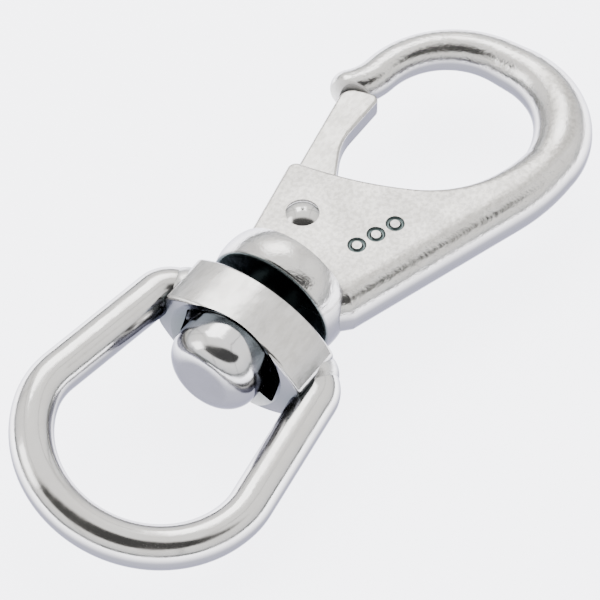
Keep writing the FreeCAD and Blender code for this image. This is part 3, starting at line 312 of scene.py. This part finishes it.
def stud_polish():
    """The stud: bright head, with near-black painted shade behind the hub."""
    s = surface("stud_polished_steel")
    x = s.axes()[0]
    patches = s.noise(3.5 * MM, 3)
    specks = s.noise(0.25 * MM, 2)
    dull = s.between(patches, 0.35, 0.7, 0.10, 0.2)
    face = s.between(x, stud_low.x + 0.25 * MM, stud_low.x + 0.02 * MM)
    dull = s.maths("ADD", dull, s.maths("MULTIPLY", face, 0.22))
    colour = s.mix(s.between(patches, 0.3, 0.75), COOL, CLEAN)
    colour = s.mix(s.between(specks, 0.68, 0.8, 0.0, 0.3), colour, (0.5, 0.5, 0.5))
    # painted black shade on the shank inside and behind the hub
    unshaded = s.between(x, hub_low.x + 1.6 * MM, hub_low.x + 0.8 * MM)
    normal = s.bump(s.noise(2.2 * MM, 2), 0.035 * MM)
    return s.metal(colour, dull, normal, unshaded)


def paint(node, material):
    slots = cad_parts[node].data.materials
    slots.clear()
    slots.append(material)


def paint_all():
    weld = weld_grain()
    paint("hook_body", cast_satin())
    paint("gate_lever", gate_satin())
    paint("gate_rivet", polished("rivet_polished_steel", CLEAN, 0.12, 0.2))
    paint("gate_spring", spring_wire())
    paint("swivel_stud", stud_polish())
    paint("eye_hub", hub_polish())
    paint("eye_ring", polished("rod_polished_steel", CLEAN, 0.11, 0.2))
    paint("gate_side_weld", weld)
    paint("spine_side_weld", weld)


# --- stage -------------------------------------------------------------------------

CAMERA_ELEVATION = math.radians(52.04)
CAMERA_TURN = math.radians(55.69)
CAMERA_ROLL = math.radians(-0.305)
CAMERA_DISTANCE = 520.5 * MM
AIM_RIGHT = 6.707 * MM
AIM_UP = 4.214 * MM
AIM_POINT = Vector((17.9 * MM, 0, 0))
FIELD_HALF_WIDTH = 34.5 * MM      # seen at the aim point


def camera_axes():
    """Right, up and back of the camera."""
    sin_e, cos_e = math.sin(CAMERA_ELEVATION), math.cos(CAMERA_ELEVATION)
    sin_a, cos_a = math.sin(CAMERA_TURN), math.cos(CAMERA_TURN)
    right = Vector((cos_a, -sin_a, 0))
    up = Vector((sin_a * sin_e, cos_a * sin_e, cos_e))
    back = Vector((-sin_a * cos_e, -cos_a * cos_e, sin_e))
    turned_right = right * math.cos(CAMERA_ROLL) - up * math.sin(CAMERA_ROLL)
    turned_up = right * math.sin(CAMERA_ROLL) + up * math.cos(CAMERA_ROLL)
    return turned_right, turned_up, back


def make_camera():
    right, up, back = camera_axes()
    data = bpy.data.cameras.new("camera")
    data.angle = 2 * math.atan(FIELD_HALF_WIDTH / CAMERA_DISTANCE)
    data.clip_start = 10 * MM
    camera = bpy.data.objects.new("camera", data)
    place = AIM_POINT + right * AIM_RIGHT + up * AIM_UP + back * CAMERA_DISTANCE
    turn = Matrix((right, up, back)).transposed()
    camera.matrix_world = Matrix.Translation(place) @ turn.to_4x4()
    bpy.context.scene.collection.objects.link(camera)
    bpy.context.scene.camera = camera


def make_floor():
    """A wide round sheet of pale card."""
    turns = 64
    radii = [0.35, 0.8, 2.5]
    height = cad_low.z - 0.02 * MM
    points = [(0.0, 0.0, height)]
    angles = [2 * math.pi * i / turns for i in range(turns)]
    for radius in radii:
        points += [(radius * math.cos(angle), radius * math.sin(angle), height) for angle in angles]
    faces = [(0, 1 + i, 1 + (i + 1) % turns) for i in range(turns)]
    for ring in range(len(radii) - 1):
        inner = 1 + ring * turns
        outer = inner + turns
        for i in range(turns):
            after = (i + 1) % turns
            faces.append((inner + i, outer + i, outer + after, inner + after))
    mesh = bpy.data.meshes.new("floor")
    mesh.from_pydata(points, [], faces)
    floor = bpy.data.objects.new("floor", mesh)
    bpy.context.scene.collection.objects.link(floor)
    s = surface("pale_card")
    fibre = s.noise(2 * MM, 4)
    colour = s.ramp(fibre, [(0.3, (0.90, 0.90, 0.925)), (0.7, (0.915, 0.915, 0.94))])
    glow = {"Emission Color": (0.93, 0.935, 1.0, 1), "Emission Strength": 4.6}
    card = s.node("ShaderNodeBsdfPrincipled", {"Base Color": colour, "Roughness": 0.9} | glow)
    mesh.materials.append(s.finish(card))


def make_world():
    """A white tent: a dark gap above the near side, a grey seam low down and thin frame lines."""
    world = bpy.data.worlds.new("tent")
    s = Shader(world, "ShaderNodeOutputWorld", "Generated")
    z = s.axes()[2]
    gap_dir = Vector((-math.sin(CAMERA_TURN), -math.cos(CAMERA_TURN), 0))
    side_dir = Vector((gap_dir.y, -gap_dir.x, 0))
    near = s.facing(gap_dir)
    side = s.maths("ABSOLUTE", s.facing(side_dir))
    gap = s.maths("MULTIPLY", s.between(z, 0.58, 0.66), s.between(near, 0.02, 0.20))
    gap = s.maths("MULTIPLY", gap, s.between(side, 0.95, 0.70))
    seam = s.within(z, 0.01, 0.14, 0.05)
    frame_line = s.within(near, -0.62, -0.60, 0.012)
    cross_line = s.within(side, 0.50, 0.515, 0.012)
    lines = s.maths("MULTIPLY", s.maths("MAXIMUM", frame_line, cross_line), s.between(z, 0.1, 0.3))
    sky = s.ramp(s.between(z, 0.0, 1.0),
                 [(0.0, (0.72, 0.73, 0.76)), (0.45, (0.98, 0.97, 0.95)), (1.0, (1.05, 1.04, 1.02))])
    colour = s.mix(s.maths("MULTIPLY", seam, 0.9), sky, (0.10, 0.11, 0.105))
    colour = s.mix(s.maths("MULTIPLY", lines, 0.7), colour, (0.12, 0.12, 0.12))
    colour = s.mix(s.maths("MULTIPLY", gap, 0.97), colour, (0.02, 0.02, 0.02))
    s.finish(s.node("ShaderNodeBackground", {"Color": colour, "Strength": 1.5}))
    bpy.context.scene.world = world


def soft_light(name, place, target, size, power, tint=(1, 1, 1)):
    data = bpy.data.lights.new(name, "AREA")
    data.shape = "RECTANGLE"
    data.size, data.size_y = size
    data.energy = power
    data.color = tint
    light = bpy.data.objects.new(name, data)
    light.location = place
    light.rotation_euler = (Vector(target) - Vector(place)).to_track_quat("-Z", "Y").to_euler()
    bpy.context.scene.collection.objects.link(light)


def make_lights():
    middle = (cad_low + cad_high) / 2
    soft_light("far_panel", middle + Vector((0.35, 0.30, 0.55)), middle, (0.45, 0.30), 1.6)
    soft_light("left_panel", middle + Vector((-0.35, 0.45, 0.35)), middle, (0.30, 0.30), 0.8)


paint_all()
make_floor()
make_world()
make_lights()
make_camera()
